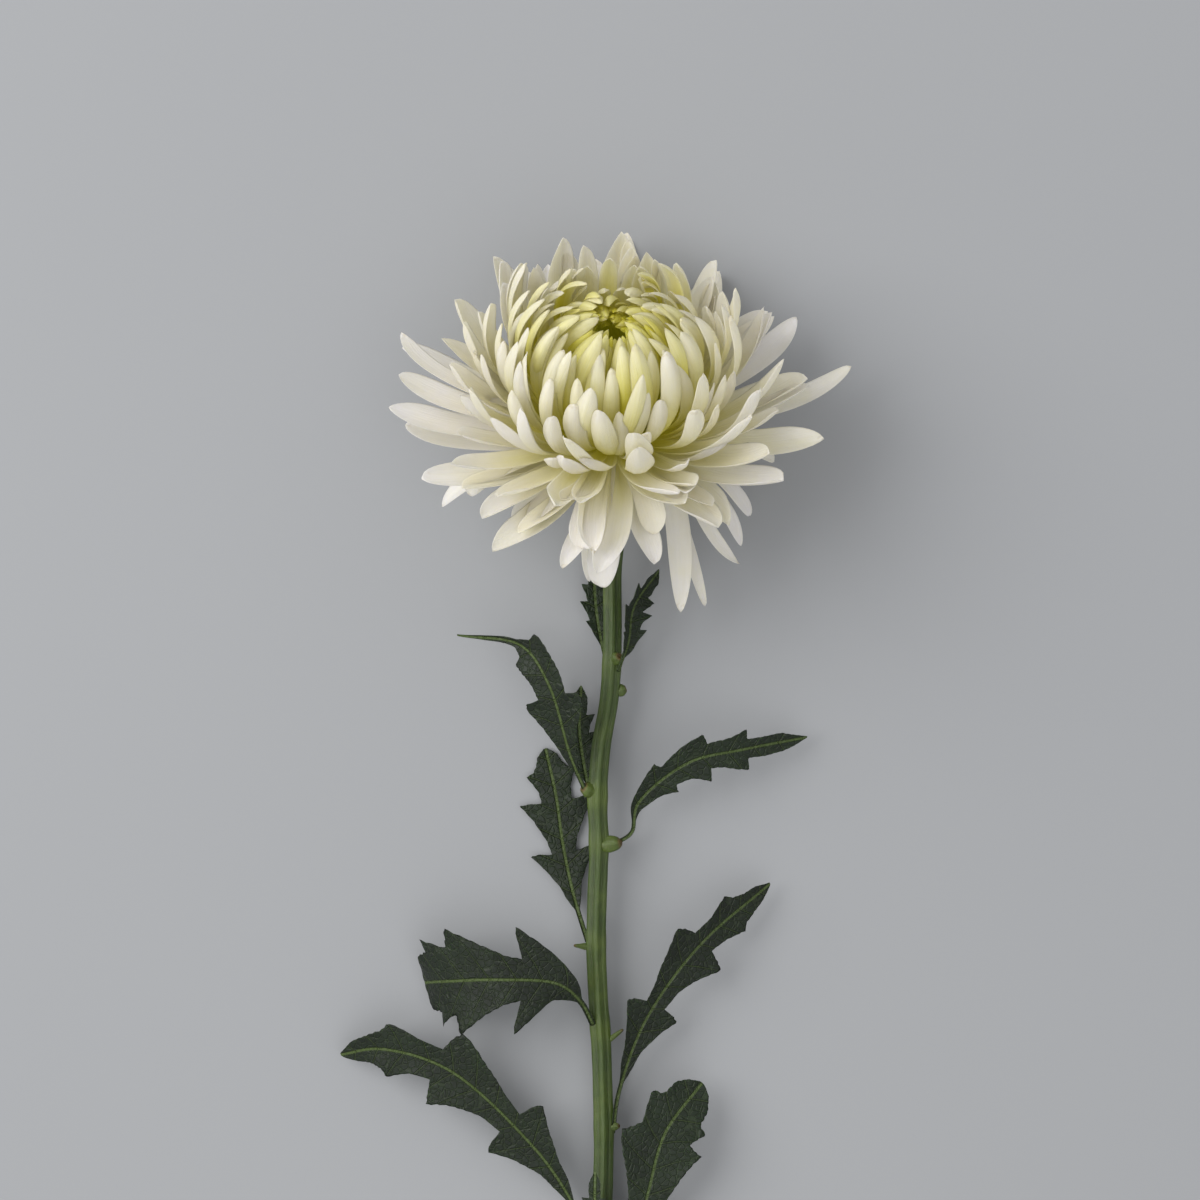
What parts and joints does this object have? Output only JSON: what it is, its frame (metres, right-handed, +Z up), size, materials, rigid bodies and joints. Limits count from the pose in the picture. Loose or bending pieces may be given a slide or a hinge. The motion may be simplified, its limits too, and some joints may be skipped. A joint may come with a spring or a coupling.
{
  "type": "cut disbud chrysanthemum",
  "caption": "Single large incurved bloom of layered ray florets on a leafy ribbed stem, lying on its back petals and cut end.",
  "frame": {"origin": "middle of the lying flower's footprint, on the surface it lies on", "axes": "+Z up from the surface, +Y from the stem's cut end towards the bloom, +X to the right seen from above"},
  "size_m": [0.1449, 0.3504, 0.0788],
  "materials": {
    "petal_white": "satin",
    "petal_cream": "satin",
    "heart_green": "satin",
    "calyx_green": "satin",
    "stem_green": "satin",
    "leaf_green": "satin"
  },
  "bodies": {
    "root": {"outer_florets": "petal_white", "inner_florets": "petal_cream", "heart_florets": "heart_green", "calyx": "calyx_green", "stem": "stem_green", "leaf_1": "leaf_green", "leaf_2": "leaf_green", "leaf_3": "leaf_green", "leaf_4": "leaf_green", "leaf_5": "leaf_green", "leaf_6": "leaf_green", "leaf_7": "leaf_green", "leaf_8": "leaf_green", "leaf_9": "leaf_green", "leaf_10": "leaf_green", "leaf_11": "leaf_green"}
  },
  "joints": []
}
